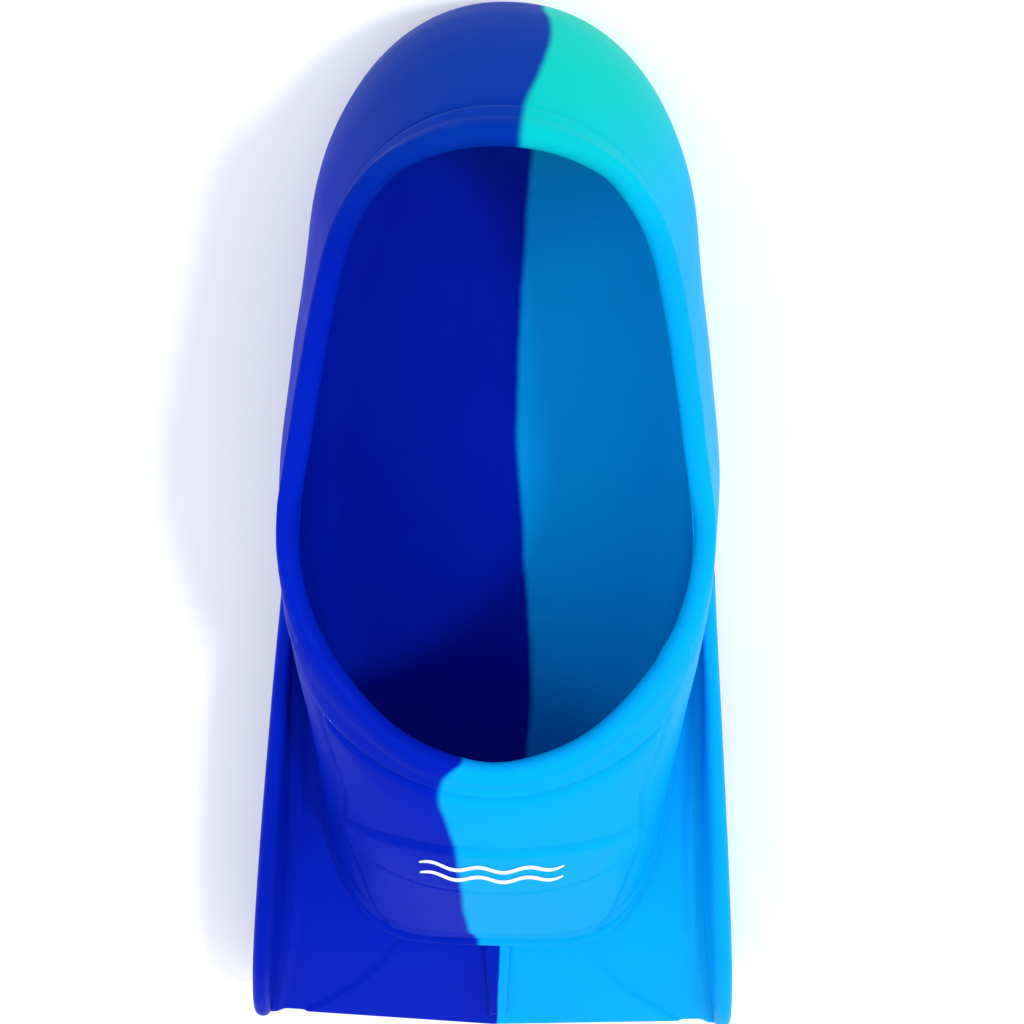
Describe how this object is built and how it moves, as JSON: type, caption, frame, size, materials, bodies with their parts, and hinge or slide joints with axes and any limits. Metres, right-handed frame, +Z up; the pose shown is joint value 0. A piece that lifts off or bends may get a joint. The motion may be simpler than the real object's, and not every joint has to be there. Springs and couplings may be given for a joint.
{
  "type": "swim fin",
  "caption": "Short-blade training swim fin in two silicones, with a closed-heel foot pocket and a blade that flexes.",
  "frame": {"origin": "floor level under the middle of the fin's length and width", "axes": "+Z up from the sole, +Y towards the heel, +X towards the cyan side"},
  "size_m": [0.146, 0.3, 0.0812],
  "materials": {
    "blue_silicone": "satin",
    "cyan_silicone": "satin",
    "white_print": "matte"
  },
  "bodies": {
    "foot_pocket": {"heel_cup_blue": "blue_silicone", "heel_cup_cyan": "cyan_silicone", "instep_band_blue": "blue_silicone", "instep_band_cyan": "cyan_silicone", "instep_panel_blue": "blue_silicone", "instep_panel_cyan": "cyan_silicone", "opening_collar_blue": "blue_silicone", "opening_collar_cyan": "cyan_silicone", "printed_mark": "white_print", "rail_root_blue": "blue_silicone", "rail_root_cyan": "cyan_silicone", "side_wall_blue": "blue_silicone", "side_wall_cyan": "cyan_silicone", "sole_blue": "blue_silicone", "sole_cyan": "cyan_silicone", "toe_box_blue": "blue_silicone", "toe_box_cyan": "cyan_silicone", "toe_lip_blue": "blue_silicone", "toe_lip_cyan": "cyan_silicone", "web_root_blue": "blue_silicone", "web_root_cyan": "cyan_silicone"},
    "blade": {"blade_fan_blue": "blue_silicone", "blade_fan_cyan": "cyan_silicone", "blade_web_blue": "blue_silicone", "blade_web_cyan": "cyan_silicone", "centre_rib_blue": "blue_silicone", "centre_rib_cyan": "cyan_silicone", "rail_tip_blue": "blue_silicone", "rail_tip_cyan": "cyan_silicone"}
  },
  "joints": [
    {"name": "blade_flex", "type": "hinge", "parent": "foot_pocket", "child": "blade", "pos_m": [0, -0.113, 0.027], "axis": [1, 0, 0], "range_deg": [-15, 15], "stiffness_Nm_per_rad": 2.5}
  ]
}
